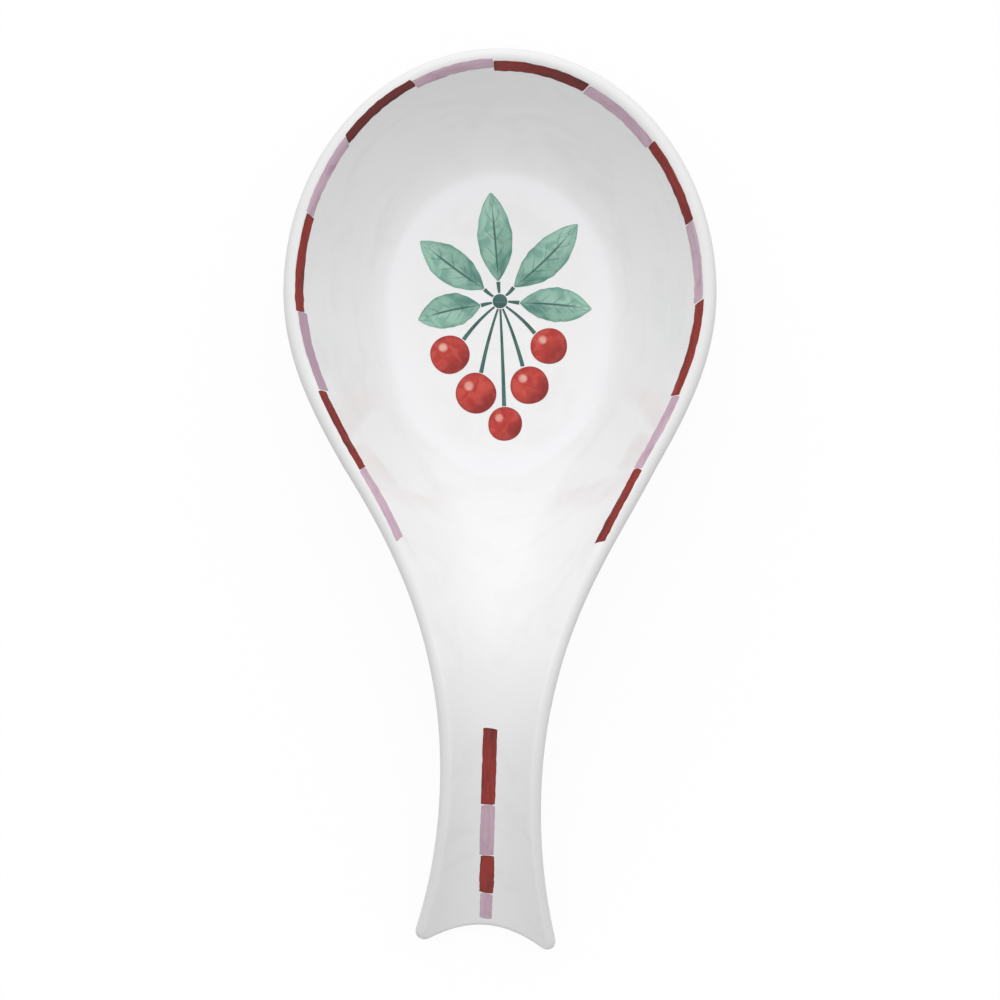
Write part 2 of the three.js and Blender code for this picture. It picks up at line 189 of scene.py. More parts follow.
# Meshes
CURVE_STEPS = 2000
RIM_STEP = 1.5
CORNER_STEPS = 10
SCOOP_STEPS = 20
LIP_STEPS = 14
INSIDE_SHARES = np.r_[np.linspace(0, 0.42, 9), np.linspace(0.45, 0.75, 20), np.linspace(0.77, 1, 14)]
OUTSIDE_SHARES = np.r_[np.linspace(1, 0.76, 12), np.linspace(0.74, 0.44, 14), np.linspace(0.4, 0, 8)]
FOOT_STEPS = 160
FOOT_ROUND_STEPS = 6
STROKE_STEP = 0.4
STROKE_COLUMNS = 13
LEAF_ROWS = 60
BERRY_ROWS = 25
STALK_ROWS = 40
STALK_COLUMNS = 5
LEAN_STEPS = 8
PROBE = 0.05
WELD = 0.001
SHARP_ANGLE = math.radians(35)

# Stage: places in metres, the lens in millimetres
CAMERA_TARGET = (0.0, 0.0006, 0.015)
CAMERA_DISTANCE = 0.9
CAMERA_ELEVATION = math.radians(87.01)
CAMERA_LENS = 115.7
CAMERA_SENSOR = 36
SKY_ABOVE = 1.025
SKY_BEYOND = 1.31
SHADOW_KEPT = 0.15
FLOOR_GREY = 0.5
FLOOR_GLOW = 1.09
FLOOR_HALF = 3.0
FLOOR_CLEAR = 0.00005


# The surface

def lerp(a, b, share):
    return a + (b - a) * share


def smoothstep(share):
    share = np.clip(share, 0, 1)
    return share * share * (3 - 2 * share)


def bezier(*handles, steps=CURVE_STEPS):
    """Points of a curve of any degree, from its handles."""
    t = np.linspace(0, 1, steps)[:, None]
    level = [np.asarray(handle, float) for handle in handles]
    while len(level) > 1:
        level = [lerp(a, b, t) for a, b in zip(level, level[1:])]
    return level[0]


SHOULDER = bezier(
    (RIM_X, WIDEST_Y), (RIM_X, WIDEST_Y - SHOULDER_PULL),
    (WAIST_X, WAIST_Y + NECK_PULL), (WAIST_X, WAIST_Y),
)


def rim_half_width(y):
    """Half the width between the rim's middle lines, from the widest line to the tips."""
    past_waist = np.maximum(0, (WAIST_Y - y) / (WAIST_Y - TIP_Y))
    flare = (TIP_X - WAIST_X) * past_waist**FLARE_POWER
    return np.interp(-y, -SHOULDER[:, 1], SHOULDER[:, 0]) + flare


def handle_share(y):
    """Share of the way from the crest to the handle's end."""
    return np.maximum(0, (CREST_Y - y) / (CREST_Y - SCOOP_Y))


def wall_at(y):
    return lerp(BOWL_WALL, HANDLE_WALL, smoothstep(handle_share(y)))


def wall_rise(share, flat, softness):
    """Rise of a wall from its foot at 0 to the rim at 1, with a soft turn out of the flat part."""
    run = np.maximum(0, (share - flat) / (1 - flat))
    return (np.hypot(run, softness) - softness) / (np.hypot(1, softness) - softness)


def climb_rise(share):
    """Climb out of the bowl, from 0 on the floor to 1 on the crest."""
    run = np.clip(share, 0, 1)
    steepest = 1 / (1 - CLIMB_TURN / 2 - CREST_TURN / 2)
    turn_in = steepest * run**2 / (2 * CLIMB_TURN)
    slope = steepest * (run - CLIMB_TURN / 2)
    turn_out = 1 - steepest * (1 - run) ** 2 / (2 * CREST_TURN)
    return np.where(run < CLIMB_TURN, turn_in, np.where(run < 1 - CREST_TURN, slope, turn_out))


def rim_share(x, y):
    """Share of the way from the spine to the rim's middle line."""
    far = np.hypot(x / RIM_X, (y - WIDEST_Y) / RIM_FAR_REACH)
    return np.where(y > WIDEST_Y, far, np.abs(x) / rim_half_width(y))


def flat_share(y):
    """Share of the way from the spine to the rim that is flat floor."""
    towards_crest = np.clip((WIDEST_Y - y) / (WIDEST_Y - CREST_Y), 0, 1)
    return FLAT_SHARE * (1 - smoothstep(towards_crest**2))


def floor_end(x):
    """Where the floor gives way to the climb to the handle."""
    return FLOOR_END_Y + FLOOR_END_ROUND * x**2 / (x**2 + FLOOR_END_SPREAD**2)


def middle_height(x, y):
    """Height of the wall's middle surface."""
    climb = climb_rise((floor_end(x) - y) / (FLOOR_END_Y - CREST_Y))
    climb = np.where(y > WIDEST_Y, 0, climb)
    softness = lerp(FILLET_SOFTNESS, TROUGH_SOFTNESS, climb)
    rise = wall_rise(rim_share(x, y), flat_share(y), softness)
    drop = ARCH_DROP * handle_share(y) ** ARCH_POWER
    return lerp(lerp(FLOOR_Z, CREST_Z, climb), RIM_Z, rise) - drop


def stacked(x, y, z):
    return np.stack(np.broadcast_arrays(x, y, z), axis=-1)


def unit(vectors):
    return vectors / np.linalg.norm(vectors, axis=-1, keepdims=True)


def middle_surface(x, y):
    """Points of the middle surface, with their upward normals."""
    slope_x = (middle_height(x + PROBE, y) - middle_height(x - PROBE, y)) / (2 * PROBE)
    slope_y = (middle_height(x, y + PROBE) - middle_height(x, y - PROBE)) / (2 * PROBE)
    return stacked(x, y, middle_height(x, y)), unit(stacked(-slope_x, -slope_y, 1.0))


def wall_face(x, y, side):
    """Points of the inside, for side 1, or of the outside, for side -1, with the middle's normals."""
    point, normal = middle_surface(x, y)
    return point + normal * (side * wall_at(y) / 2)[..., None], normal


def leaned(points):
    """The handle's sideways lean, which turns each section with it."""
    x, y, z = np.moveaxis(points, -1, 0)
    past = np.maximum(0, FLOOR_END_Y - y)
    blended = np.hypot(past, LEAN_BLEND)
    slope = math.tan(HANDLE_LEAN)
    turn = slope * past / blended + math.tan(END_SLANT) * handle_share(y) ** 2
    return stacked(x - slope * (blended - LEAN_BLEND), y - x * turn, z)


def upright(points):
    """Where points of the leaned handle would be without its lean."""
    found = points
    for _ in range(LEAN_STEPS):
        found = found + points - leaned(found)
    return found


def pool_highlight_share(x, y):
    """Share of painted highlight in the turn round the floor, which also stands for deeper glaze there,
    from 0 to 1.
    """
    past_side = (rim_share(x, y) - flat_share(y)) * rim_half_width(y)
    past_end = floor_end(x) - y
    rounded = np.hypot(np.maximum(0, past_side + POOL_HIGHLIGHT_REACH), np.maximum(0, past_end + POOL_HIGHLIGHT_REACH))
    past = rounded - POOL_HIGHLIGHT_REACH
    return smoothstep(1 + past / POOL_HIGHLIGHT_REACH) * smoothstep(1 - past / POOL_HIGHLIGHT_EDGE)


def rim_path():
    """One side of the rim from above, from the bowl's far end to the middle of the scooped end."""
    turn = np.linspace(math.pi / 2, 0, CURVE_STEPS)
    bowl = np.c_[RIM_X * np.cos(turn), WIDEST_Y + RIM_FAR_REACH * np.sin(turn)]
    y = np.linspace(WIDEST_Y, TIP_Y + TIP_ROUND, 2 * CURVE_STEPS)
    side = np.c_[rim_half_width(y), y]
    scoop_x = TIP_X - TIP_ROUND
    scoop_start = (scoop_x, SCOOP_Y - SCOOP_DEPTH * (scoop_x / TIP_X) ** 2)
    corner = bezier(side[-1], (TIP_X, TIP_Y), scoop_start)
    scoop = bezier(scoop_start, (scoop_x / 2, SCOOP_Y), (0, SCOOP_Y))
    curves = [bowl, side[1:], corner[1:], scoop[1:]]
    path = np.concatenate(curves)
    along = np.r_[0, np.cumsum(np.hypot(*np.diff(path, axis=0).T))]
    ends = along[np.cumsum([len(curve) for curve in curves]) - 1]
    return path, along, ends


RIM_PATH, RIM_ALONG, (_, SIDE_END_AT, CORNER_END_AT, RIM_END_AT) = rim_path()


def rim_xy(distance):
    """The rim's middle line by distance from the far end, positive on the right, negative on the left."""
    wrapped = distance - 2 * RIM_END_AT * np.round(distance / (2 * RIM_END_AT))
    x = np.interp(np.abs(wrapped), RIM_ALONG, RIM_PATH[:, 0])
    y = np.interp(np.abs(wrapped), RIM_ALONG, RIM_PATH[:, 1])
    return np.sign(wrapped) * x, y


class Rim:
    """The rim at some distances: its middle points, the normals there and the way out across it."""

    def __init__(self, distance):
        self.x, self.y = rim_xy(distance)
        self.spine_y = np.clip(self.y, SPINE_END_Y, WIDEST_Y)
        self.half_wall = wall_at(self.y) / 2
        self.point, self.normal = middle_surface(self.x, self.y)
        before = rim_xy(distance - PROBE)
        after = rim_xy(distance + PROBE)
        along = stacked(*after, middle_height(*after)) - stacked(*before, middle_height(*before))
        self.out = unit(np.cross(self.normal, along))

    def face(self, share, side):
        """The inside or outside, that share of the way from the spine to the rim."""
        return wall_face(self.x * share, lerp(self.spine_y, self.y, share), side)

    def below(self, reach):
        """The inside, that far in from the rim as seen from above."""
        inward = reach / np.hypot(self.x, self.spine_y - self.y)
        return self.face(1 - inward, 1)

    def lip(self, angle):
        """The round of the rim, from its inner edge at 0 to its outer edge at pi, with the way up."""
        angle = np.asarray(angle)[..., None]
        up = self.normal * np.cos(angle) + self.out * np.sin(angle)
        return self.point + up * self.half_wall[..., None], up


# Materials

def linear(code):
    """A written sRGB colour such as "963c35" as the shader's linear RGBA."""
    levels = np.array([int(code[i : i + 2], 16) for i in (0, 2, 4)]) / 255
    return [*np.where(levels <= 0.04045, levels / 12.92, ((levels + 0.055) / 1.055) ** 2.4), 1.0]


class Nodes:
    """A node tree that is built up socket by socket."""

    def __init__(self, tree):
        self.tree = tree

    def add(self, kind, inputs=None, **settings):
        node = self.tree.nodes.new(kind)
        for name, value in settings.items():
            setattr(node, name, value)
        for socket, value in (inputs or {}).items():
            self.feed(node.inputs[socket], value)
        return node

    def feed(self, socket, value):
        if isinstance(value, bpy.types.NodeSocket):
            self.tree.links.new(value, socket)
        else:
            socket.default_value = value

    def math(self, operation, a, b=0.0):
        return self.add("ShaderNodeMath", {0: a, 1: b}, operation=operation).outputs["Value"]

    def parts(self, vector):
        """The sockets of a vector's X, Y and Z."""
        return self.add("ShaderNodeSeparateXYZ", {"Vector": vector}).outputs

    def seen(self, share):
        """A share for what the camera sees, in gloss and glass too, and 0 for what lights the part."""
        path = self.add("ShaderNodeLightPath").outputs
        seen = self.math("MAXIMUM", path["Is Camera Ray"], path["Is Glossy Ray"])
        seen = self.math("MAXIMUM", seen, path["Is Transmission Ray"])
        return self.math("MULTIPLY", seen, share)


class Shader(Nodes):
    """A node material with one Principled shader."""

    def __init__(self, name, ior):
        self.material = bpy.data.materials.new(name)
        self.material.use_nodes = True
        super().__init__(self.material.node_tree)
        self.surface = self.tree.nodes["Principled BSDF"]
        self.set("IOR", ior)

    def set(self, socket, value):
        self.feed(self.surface.inputs[socket], value)

    def place(self):
        """Where a point is on the object, in metres."""
        return self.add("ShaderNodeTexCoord").outputs["Object"]

    def brushed(self):
        """Where a point is on a brush stroke: millimetres along it, and -1 to 1 across."""
        return self.add("ShaderNodeUVMap", uv_map=STROKE_MAP).outputs["UV"]

    def attribute(self, name):
        return self.add("ShaderNodeAttribute", attribute_name=name).outputs["Fac"]

    def stretched(self, vector, scale):
        return self.add("ShaderNodeMapping", {"Vector": vector, "Scale": scale}).outputs["Vector"]

    def noise(self, vector, scale, detail=2.0, roughness=0.5, distortion=0.0):
        inputs = {"Vector": vector, "Scale": scale, "Detail": detail}
        inputs |= {"Roughness": roughness, "Distortion": distortion}
        return self.add("ShaderNodeTexNoise", inputs).outputs["Fac"]

    def spread(self, value, given, wanted=(0, 1)):
        """A value taken from one range to another, smoothly and held at the ends."""
        inputs = {"Value": value, "From Min": given[0], "From Max": given[1]}
        inputs |= {"To Min": wanted[0], "To Max": wanted[1]}
        node = self.add("ShaderNodeMapRange", inputs, interpolation_type="SMOOTHSTEP")
        return node.outputs["Result"]

    def mix(self, share, a, b):
        node = self.add("ShaderNodeMix", {"Factor": share}, data_type="RGBA")
        sockets = {socket.identifier: socket for socket in (*node.inputs, *node.outputs)}
        self.feed(sockets["A_Color"], a)
        self.feed(sockets["B_Color"], b)
        return sockets["Result_Color"]

    def bump(self, height, depth):
        """A relief as deep as that many millimetres."""
        inputs = {"Height": height, "Distance": depth * MM, "Strength": 1.0}
        self.set("Normal", self.add("ShaderNodeBump", inputs).outputs["Normal"])


def glaze_material():
    """A glossy white glaze with faint darker smears of painted reflection, and a lighter, cooler ring
    round the floor of painted highlight, which also stands for pooled glaze. It is a touch greyer over the
    rim's outer round.
    """
    shader = Shader("white_glaze", CERAMIC_IOR)
    place = shader.place()
    cloud = shader.noise(place, 28, detail=3)
    tone = shader.mix(cloud, linear("eeeeee"), linear("f4f4f5"))
    # Painted reflections: faint darker smears, stretched round the walls.
    painted_reflection_smear = shader.noise(shader.stretched(place, (1, 1, 4)), 45, detail=3, roughness=0.6, distortion=0.8)
    tone = shader.mix(shader.spread(painted_reflection_smear, (0.4, 0.7), (-0.1, 0.25)), tone, linear("e2e3e4"))
    # Painted highlight: a lighter, cooler ring round the floor, which also stands for pooled glaze.
    tone = shader.mix(shader.attribute(POOL_HIGHLIGHT), tone, linear("f5f5f7"))
    shader.set("Base Color", shader.mix(shader.attribute(LIP), tone, linear("ebebeb")))
    shader.set("Roughness", shader.spread(shader.noise(place, 60), (0.3, 0.7), (0.07, 0.11)))
    shader.bump(shader.noise(place, 90, detail=1), GLAZE_RIPPLE)
    return shader.material


def clay_material():
    """Dry fired clay, buff with fine grog."""
    shader = Shader("dry_foot", CERAMIC_IOR)
    place = shader.place()
    grain = shader.noise(place, 1400, detail=2, roughness=0.7)
    base = shader.mix(shader.noise(place, 90), linear("dcd3c3"), linear("e6dfd2"))
    specks = shader.spread(grain, (0.62, 0.75))
    shader.set("Base Color", shader.mix(specks, base, linear("b9a990")))
    shader.set("Roughness", shader.spread(grain, (0.3, 0.7), (0.75, 0.92)))
    shader.bump(grain, CLAY_GRAIN)
    return shader.material


def brush_material(name, deep, body, pale, dried):
    """Enamel laid on with one pull of a brush: streaked along it, and darker where it dried at the edge.

    Some strokes are more heavily loaded than others.
    """
    shader = Shader(name, ENAMEL_IOR)
    stroke = shader.brushed()
    streak = shader.noise(shader.stretched(stroke, (0.1, 2.2, 1)), 1, detail=4, roughness=0.6)
    wash = shader.noise(shader.stretched(stroke, (0.16, 0.5, 1)), 1, detail=2)
    tone = shader.mix(shader.spread(streak, (0.35, 0.7)), linear(body), linear(pale))
    tone = shader.mix(shader.spread(wash, (0.48, 0.75), (0, 0.55)), tone, linear(deep))
    load = shader.noise(shader.stretched(stroke, (1 / STROKE_APART, 0, 1)), 1.3, detail=0)
    tone = shader.mix(shader.spread(load, (0.45, 0.7), (0, 0.6)), tone, linear(deep))
    edge = shader.math("MULTIPLY", shader.attribute(EDGE), shader.spread(streak, (0.3, 0.7), (0, dried)))
    shader.set("Base Color", shader.mix(edge, tone, linear(deep)))
    shader.set("Roughness", shader.spread(streak, (0.3, 0.7), (0.1, 0.18)))
    shader.bump(streak, BRUSH_RIDGE)
    return shader.material


def leaf_material():
    """A leaf in two washes, darker by its stalk and on one half, with veins drawn in."""
    shader = Shader("painted_leaf", ENAMEL_IOR)
    stroke = shader.brushed()
    reach = shader.attribute(REACH)
    across = shader.parts(stroke)["Y"]
    aside = shader.math("ABSOLUTE", across)
    wash = shader.noise(shader.stretched(stroke, (0.22, 1.3, 1)), 1, detail=3, distortion=0.6)
    tone = shader.mix(shader.spread(wash, (0.35, 0.65)), linear("7fae9f"), linear("a3cbb9"))
    by_stalk = shader.spread(reach, (0.75, 0.05), (0, 0.55))
    shade = shader.math("ADD", by_stalk, shader.spread(across, (-0.1, 0.25), (0, 0.22)))
    shade = shader.math("MULTIPLY", shade, shader.spread(wash, (0.3, 0.7), (1.15, 0.6)))
    tone = shader.mix(shade, tone, linear("3c7467"))
    slant = shader.math("MULTIPLY", aside, LEAF_VEIN_SLANT)
    slanted = shader.math("SUBTRACT", shader.math("MULTIPLY", reach, LEAF_VEINS), slant)
    from_vein = shader.math("ABSOLUTE", shader.math("SUBTRACT", shader.math("FRACT", slanted), 0.5))
    faded = shader.spread(aside, (0.8, 0.3), (0, 0.5))
    side_veins = shader.math("MULTIPLY", shader.spread(from_vein, (0.07, 0.02)), faded)
    thinned = shader.spread(reach, (0.95, 0.6), (0, 0.85))
    midrib = shader.math("MULTIPLY", shader.spread(aside, (0.09, 0.03)), thinned)
    tone = shader.mix(shader.math("MAXIMUM", side_veins, midrib), tone, linear("27524c"))
    dried = shader.math("MULTIPLY", shader.attribute(EDGE), 0.5)
    shader.set("Base Color", shader.mix(dried, tone, linear("4b8375")))
    shader.set("Roughness", shader.spread(wash, (0.3, 0.7), (0.1, 0.16)))
    shader.bump(wash, BRUSH_RIDGE)
    return shader.material


def berry_material():
    """A berry in wet red washes, pale where the brush left its light and dark round the far side."""
    shader = Shader("painted_berry", ENAMEL_IOR)
    stroke = shader.brushed()
    wash = shader.noise(shader.place(), 260, detail=3, distortion=0.8)
    tone = shader.mix(shader.spread(wash, (0.35, 0.68)), linear("b22c27"), linear("cb4a3d"))
    parts = shader.parts(stroke)
    lower = shader.spread(shader.math("SUBTRACT", parts["X"], parts["Y"]), (-0.2, 1.3))
    shade = shader.math("MULTIPLY", lower, shader.spread(wash, (0.3, 0.7), (0.9, 0.5)))
    tone = shader.mix(shade, tone, linear("7d1a19"))
    away = shader.add("ShaderNodeVectorMath", {0: stroke, 1: BERRY_LIGHT}, operation="DISTANCE")
    near_light = shader.spread(away.outputs["Value"], (0.3, 0.12))
    light = shader.math("MULTIPLY", near_light, shader.spread(wash, (0.25, 0.6), (1, 0.6)))
    tone = shader.mix(light, tone, linear("edb5a6"))
    dried = shader.math("MULTIPLY", shader.attribute(EDGE), 0.6)
    shader.set("Base Color", shader.mix(dried, tone, linear("7a1d1b")))
    shader.set("Roughness", shader.spread(wash, (0.3, 0.7), (0.1, 0.16)))
    shader.bump(wash, BRUSH_RIDGE)
    return shader.material


# Pieces

def grid_faces(index, wrap=False):
    """Quads over a grid of vertex numbers, whose rows may close on themselves."""
    if wrap:
        index = np.concatenate([index, index[:, :1]], axis=1)
    corners = [index[:-1, :-1], index[:-1, 1:], index[1:, 1:], index[1:, :-1]]
    return np.stack(corners, axis=-1).reshape(-1, 4).tolist()


def new_object(name, vertices, faces, material):
    mesh = bpy.data.meshes.new(name)
    mesh.from_pydata((np.asarray(vertices) * MM).tolist(), [], faces)
    mesh.materials.append(material)
    mesh.polygons.foreach_set("use_smooth", [True] * len(mesh.polygons))
    mesh.set_sharp_from_angle(angle=SHARP_ANGLE)
    piece = bpy.data.objects.new(name, mesh)
    bpy.context.scene.collection.objects.link(piece)
    return piece


def stand_for(piece, node):
    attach(piece, "root")
    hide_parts(node)


def give_attribute(mesh, name, values):
    attribute = mesh.attributes.new(name, "FLOAT", "POINT")
    attribute.data.foreach_set("value", np.asarray(values, float).ravel())


def shell_object(glaze):
    """Rings from the line down the middle, up the inside, over the rim and back under the outside."""
    right = np.concatenate([
        np.linspace(0, SIDE_END_AT, round(SIDE_END_AT / RIM_STEP), endpoint=False),
        np.linspace(SIDE_END_AT, CORNER_END_AT, CORNER_STEPS, endpoint=False),
        np.linspace(CORNER_END_AT, RIM_END_AT, SCOOP_STEPS, endpoint=False),
    ])
    rim = Rim(np.concatenate([right, [RIM_END_AT], -right[:0:-1]]))
    rings = [rim.face(share, 1)[0] for share in INSIDE_SHARES]
    rings += [rim.lip(angle)[0] for angle in np.linspace(0, math.pi, LIP_STEPS + 1)[1:-1]]
    rings += [rim.face(share, -1)[0] for share in OUTSIDE_SHARES]
    points = leaned(np.array(rings))
    points[..., 2] = np.maximum(points[..., 2], 0)
    index = np.arange(points[..., 0].size).reshape(points.shape[:2])
    piece = new_object("glazed_body", points.reshape(-1, 3), grid_faces(index[::-1], wrap=True), glaze)
    weld(piece.data)
    return piece


def weld(mesh):
    """Joins the doubled points where the rings close on the line down the middle."""
    work = bmesh.new()
    work.from_mesh(mesh)
    bmesh.ops.remove_doubles(work, verts=work.verts, dist=WELD * MM)
    work.to_mesh(mesh)
    work.free()


def floor_oval(inset, turn):
    """The floor's outline from above, drawn in by an inset."""
    reach = np.where(np.sin(turn) > 0, FLAT_SHARE * RIM_FAR_REACH, FLOOR_NEAR_REACH) - inset
    return (FLOOR_WIDTH / 2 - inset) * np.cos(turn), WIDEST_Y + reach * np.sin(turn)


def foot_object(clay):
    """A ring that reaches up into the floor's wall and whose lower edges are rounded."""
    top = FOOT_HEIGHT + BOWL_WALL / 4
    turn = np.linspace(0, math.pi / 2, FOOT_ROUND_STEPS)
    outer = np.c_[FOOT_ROUND * (1 - np.cos(turn)), FOOT_ROUND * (1 - np.sin(turn))]
    inner = np.c_[FOOT_WIDTH - outer[::-1, 0], outer[::-1, 1]]
    section = np.concatenate([[(0, top)], outer, inner, [(FOOT_WIDTH, top)]])
    around = (np.arange(FOOT_STEPS) + 0.5) * math.tau / FOOT_STEPS
    points = np.array([stacked(*floor_oval(FOOT_INSET + inset, around), z) for inset, z in section])
    index = np.arange(points[..., 0].size).reshape(points.shape[:2])
    closed = np.concatenate([index, index[:1]])
    return new_object("foot", points.reshape(-1, 3), grid_faces(closed, wrap=True), clay)


def join(piece, other):
    """One closed mesh of both objects. The second is used up."""
    union = piece.modifiers.new("join", "BOOLEAN")
    union.operation = "UNION"
    union.solver = "EXACT"
    union.object = other
    solid = bpy.data.meshes.new_from_object(piece.evaluated_get(bpy.context.evaluated_depsgraph_get()))
    piece.modifiers.clear()
    piece.data = solid
    bpy.data.objects.remove(other)


def add_body():
    """The glazed body on its foot, which is left dry where the foot touches the table."""
    glaze = glaze_material()
    clay = clay_material()
    piece = shell_object(glaze)
    stand_for(piece, "ceramic_body")
    join(piece, foot_object(clay))
    mesh = piece.data
    mesh.materials.clear()
    mesh.materials.append(glaze)
    mesh.materials.append(clay)
    dry = [face.center.z < FOOT_ROUND * MM and face.center.y > FLOOR_END_Y * MM for face in mesh.polygons]
    mesh.polygons.foreach_set("material_index", np.array(dry, int))
    mesh.set_sharp_from_angle(angle=SHARP_ANGLE)
    x, y, _ = upright(np.array([vertex.co for vertex in mesh.vertices]) / MM).T
    give_attribute(mesh, LIP, smoothstep((rim_share(x, y) - LIP_START) / LIP_BLEND))
    # The painted highlight ring round the floor, which also stands for pooled glaze.
    give_attribute(mesh, POOL_HIGHLIGHT, pool_highlight_share(x, y))


class Patch:
    """A grid of points on the glaze, with the way up from it and its place on a brush stroke."""

    def __init__(self, surface, along, across, reach, to_edge):
        point, self.up = surface
        self.point = leaned(point)
        self.stroke = stacked(along, across, 0.0)[..., :2]
        self.reach = np.broadcast_to(reach, self.point.shape[:2])
        self.edge = np.exp(-to_edge / EDGE_FADE)

    def turned(self):
        """The same patch with its columns in the other order, so that its faces look up."""
        for name in ("point", "up", "stroke", "reach", "edge"):
            setattr(self, name, getattr(self, name)[:, ::-1])
        return self

    def sheets(self, start):
        """Vertex numbers of the film's upper and lower sheet, which share their outline."""
        rows, columns = self.edge.shape
        upper = start + np.arange(rows * columns).reshape(rows, columns)
        lower = upper.copy()
        inner = lower[1:-1, 1:-1]
        inner[...] = upper[-1, -1] + 1 + np.arange(inner.size).reshape(inner.shape)
        return upper, lower

    def points(self):
        """The upper sheet's points, and those of the lower sheet inside the outline."""
        lift = np.full(self.edge.shape, FILM_GAP)
        lift[1:-1, 1:-1] += FILM
        return for_sheets(self.point + self.up * lift[..., None], self.point + self.up * FILM_GAP)


def for_sheets(upper, lower):
    """Values for all of the upper sheet's vertices, and for the lower's inside the outline."""
    shape = (-1,) + upper.shape[2:]
    return np.concatenate([upper.reshape(shape), lower[1:-1, 1:-1].reshape(shape)])


def for_films(values):
    """Values of each patch, for all vertices of both its sheets."""
    return np.concatenate([for_sheets(value, value) for value in values])


def add_film(node, material, patches):
    """A closed film over patches of the glaze, which takes the place of a CAD node."""
    points = np.zeros((0, 3))
    faces = []
    for patch in patches:
        upper, lower = patch.sheets(len(points))
        points = np.concatenate([points, patch.points()])
        faces += grid_faces(upper) + grid_faces(lower[:, ::-1])
    piece = new_object(f"paint_{node}", points, faces, material)
    mesh = piece.data
    give_attribute(mesh, EDGE, for_films(patch.edge for patch in patches))
    give_attribute(mesh, REACH, for_films(patch.reach for patch in patches))
    strokes = for_films(patch.stroke for patch in patches)
    corners = np.zeros(len(mesh.loops), int)
    mesh.loops.foreach_get("vertex_index", corners)
    mesh.uv_layers.new(name=STROKE_MAP).data.foreach_set("uv", strokes[corners].ravel())
    stand_for(piece, node)


def edged(count, size):
    """Shares from 0 to 1 over some millimetres, with a narrow first and last step for a film's edge."""
    step = FILM_EDGE / size
    return np.r_[0, np.linspace(step, 1 - step, count - 2), 1]


def wobble(random, share, size, waves=EDGE_WAVES):
    """A smooth unevenness along a share of 0 to 1."""
    total = np.zeros_like(share)
    for wave in range(1, waves + 1):
        total += np.sin(math.tau * (wave * share + random.random())) / math.sqrt(wave)
    return size * total / math.sqrt(waves)


class Stroke:
    """Places on a brush stroke: millimetres along and across it, and in from its uneven edge."""

    def __init__(self, random, length, width, slants):
        rows = round(length / STROKE_STEP)
        self.reach = edged(rows, length)[:, None]
        column = edged(STROKE_COLUMNS, width)[None, :]
        self.side = 2 * column - 1
        cut = STROKE_END_ROUND * np.abs(self.side) ** 3
        start = cut + slants[0] * self.side + wobble(random, column, STROKE_END_WOBBLE)
        stop = length - cut + slants[1] * self.side + wobble(random, column, STROKE_END_WOBBLE)
        half = width / 2 * (1 - STROKE_BELLY * (2 * self.reach - 1) ** 2)
        left = half + wobble(random, self.reach, STROKE_EDGE_WOBBLE)
        right = half + wobble(random, self.reach, STROKE_EDGE_WOBBLE)
        self.along = lerp(start, stop, self.reach)
        self.across = lerp(-left, right, column)
        to_side = (1 - np.abs(self.side)) * width / 2
        self.to_edge = np.minimum(np.minimum(self.along - start, stop - self.along), to_side)

    def patch(self, surface, number):
        """The stroke laid on the glaze. Its number keeps its streaks unlike the others'."""
        along = self.along + STROKE_SHIFT + number * STROKE_APART
        return Patch(surface, along, self.side, self.reach, self.to_edge)


def rim_dash(random, start, sign, length, outwards, slants, number):
    """A dash from the wall just below the rim onto the foot of its round."""
    lip_reach = DASH_LIP_ANGLE * BOWL_WALL / 2
    stroke = Stroke(random, length, DASH_WALL_REACH + lip_reach, slants)
    rim = Rim(start + sign * (DASH_BARE / 2 + stroke.along))
    reach = stroke.across + (lip_reach - DASH_WALL_REACH) / 2 + outwards
    on_wall = rim.below(np.maximum(0, -reach))
    on_lip = rim.lip(np.maximum(0, reach) / rim.half_wall)
    surface = [np.where((reach > 0)[..., None], lip, wall) for lip, wall in zip(on_lip, on_wall)]
    patch = stroke.patch(surface, number)
    return patch.turned() if sign > 0 else patch


def add_rim_dashes(paints):
    """Red and lilac in turn down both sides, which start with one of each at the far end."""
    random = np.random.default_rng(RIM_DASH_SEED)
    for side, sign in (("right", 1), ("left", -1)):
        start = RIM_DASHES_MEET
        slants = random.uniform(-RIM_JOINT_SLANT, RIM_JOINT_SLANT, len(RIM_DASHES[side]) + 1)
        slants[0] = 0
        for i, (length, outwards) in enumerate(RIM_DASHES[side]):
            slot = "enamel_red" if (i % 2 == 0) == (side == "right") else "enamel_lilac"
            joints = slants[i : i + 2]
            patch = rim_dash(random, start, sign, length - DASH_BARE, outwards, joints, sign * (i + 1))
            add_film(f"rim_dash_{side}_{i + 1}", paints[slot], [patch])
            start += sign * length


def add_handle_dashes(paints):
    """Red and lilac in turn down the middle of the trough."""
    random = np.random.default_rng(HANDLE_DASH_SEED)
    run = sum(length + DASH_SPACE for length, _ in HANDLE_DASHES)
    y = SCOOP_Y + HANDLE_DASHES_TO_END + run
    spread = DASH_SPACE - DASH_BARE
    slants = random.uniform(-HANDLE_JOINT_SLANT, HANDLE_JOINT_SLANT, len(HANDLE_DASHES) + 1)
    for i, (length, aside) in enumerate(HANDLE_DASHES):
        width = HANDLE_DASH_WIDTH * HANDLE_DASH_FULLNESS[i]
        stroke = Stroke(random, length + spread, width, slants[i : i + 2])
        patch = stroke.patch(wall_face(-stroke.across - aside, y + spread / 2 - stroke.along, 1), i)
        slot = "enamel_red" if i % 2 == 0 else "enamel_lilac"
        add_film(f"handle_dash_{i + 1}", paints[slot], [patch])
        y -= length + DASH_SPACE


def motif_patch(x, y, *stroke):
    """A patch of the floor, placed in the motif's units from the widest line."""
    return Patch(wall_face(MOTIF_UNIT * x, WIDEST_Y + MOTIF_UNIT * y, 1), *stroke)


